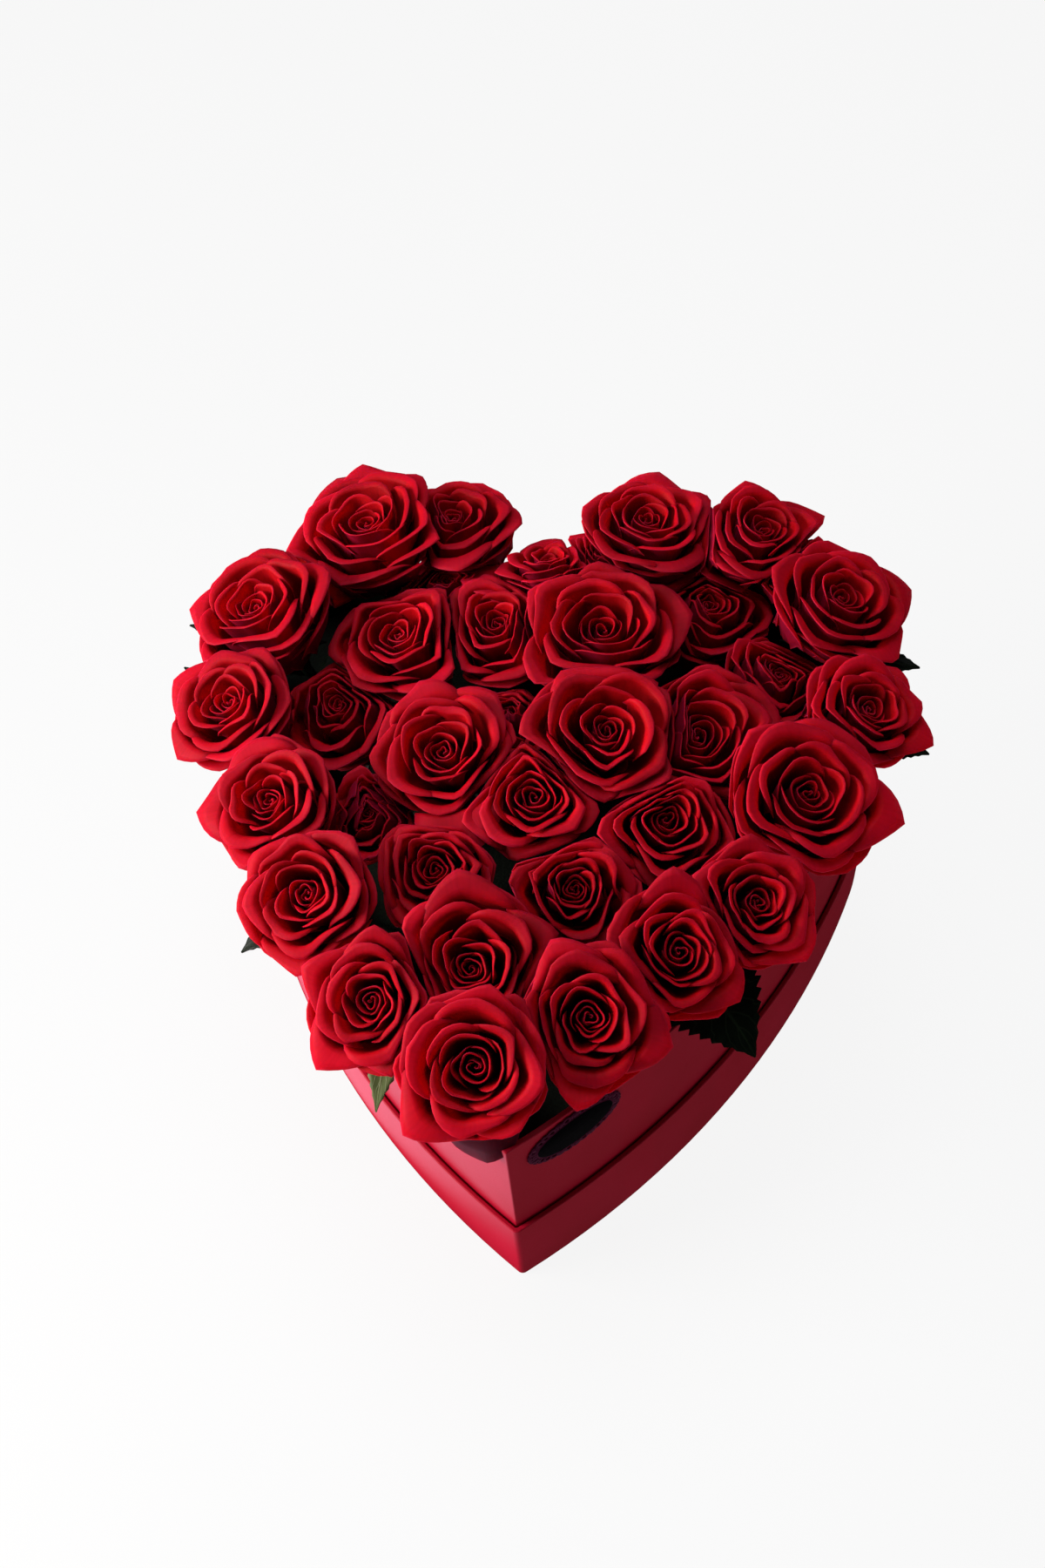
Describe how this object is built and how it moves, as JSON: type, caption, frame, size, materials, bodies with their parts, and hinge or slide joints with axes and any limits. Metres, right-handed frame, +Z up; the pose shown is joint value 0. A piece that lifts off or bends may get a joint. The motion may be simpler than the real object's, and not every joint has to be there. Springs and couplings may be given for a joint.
{
  "type": "heart-shaped rose box",
  "caption": "Heart-shaped paperboard box standing in its own upturned lid, filled with tightly packed red roses that stand in lined floral foam.",
  "frame": {"origin": "on the surface the lid stands on, at the middle of the heart outline", "axes": "+Z up; -Y to the heart's pointed tip, which is the front; +X to the right"},
  "size_m": [0.3344, 0.3366, 0.1734],
  "materials": {
    "paper": "satin red covering paper on board",
    "label": "matte black card",
    "liner": "thin film",
    "foam": "wet floral foam",
    "petals": "velvety petal",
    "leaves": "waxy leaf"
  },
  "bodies": {
    "root": {"lid": "paper", "box": "paper", "label": "label", "liner": "liner", "foam": "foam", "rose_01": "petals", "rose_02": "petals", "rose_03": "petals", "rose_04": "petals", "rose_05": "petals", "rose_06": "petals", "rose_07": "petals", "rose_08": "petals", "rose_09": "petals", "rose_10": "petals", "rose_11": "petals", "rose_12": "petals", "rose_13": "petals", "rose_14": "petals", "rose_15": "petals", "rose_16": "petals", "rose_17": "petals", "rose_18": "petals", "rose_19": "petals", "rose_20": "petals", "rose_21": "petals", "rose_22": "petals", "rose_23": "petals", "rose_24": "petals", "rose_25": "petals", "rose_26": "petals", "rose_27": "petals", "rose_28": "petals", "rose_29": "petals", "rose_30": "petals", "rose_31": "petals", "rose_32": "petals", "rose_33": "petals", "rose_34": "petals", "rose_35": "petals", "rose_36": "petals", "stems_01": "leaves", "stems_02": "leaves", "stems_03": "leaves", "stems_04": "leaves", "stems_05": "leaves", "stems_06": "leaves", "stems_07": "leaves", "stems_08": "leaves", "stems_09": "leaves", "stems_10": "leaves", "stems_11": "leaves", "stems_12": "leaves", "stems_13": "leaves", "stems_14": "leaves", "stems_15": "leaves", "stems_16": "leaves", "stems_17": "leaves"}
  },
  "joints": []
}
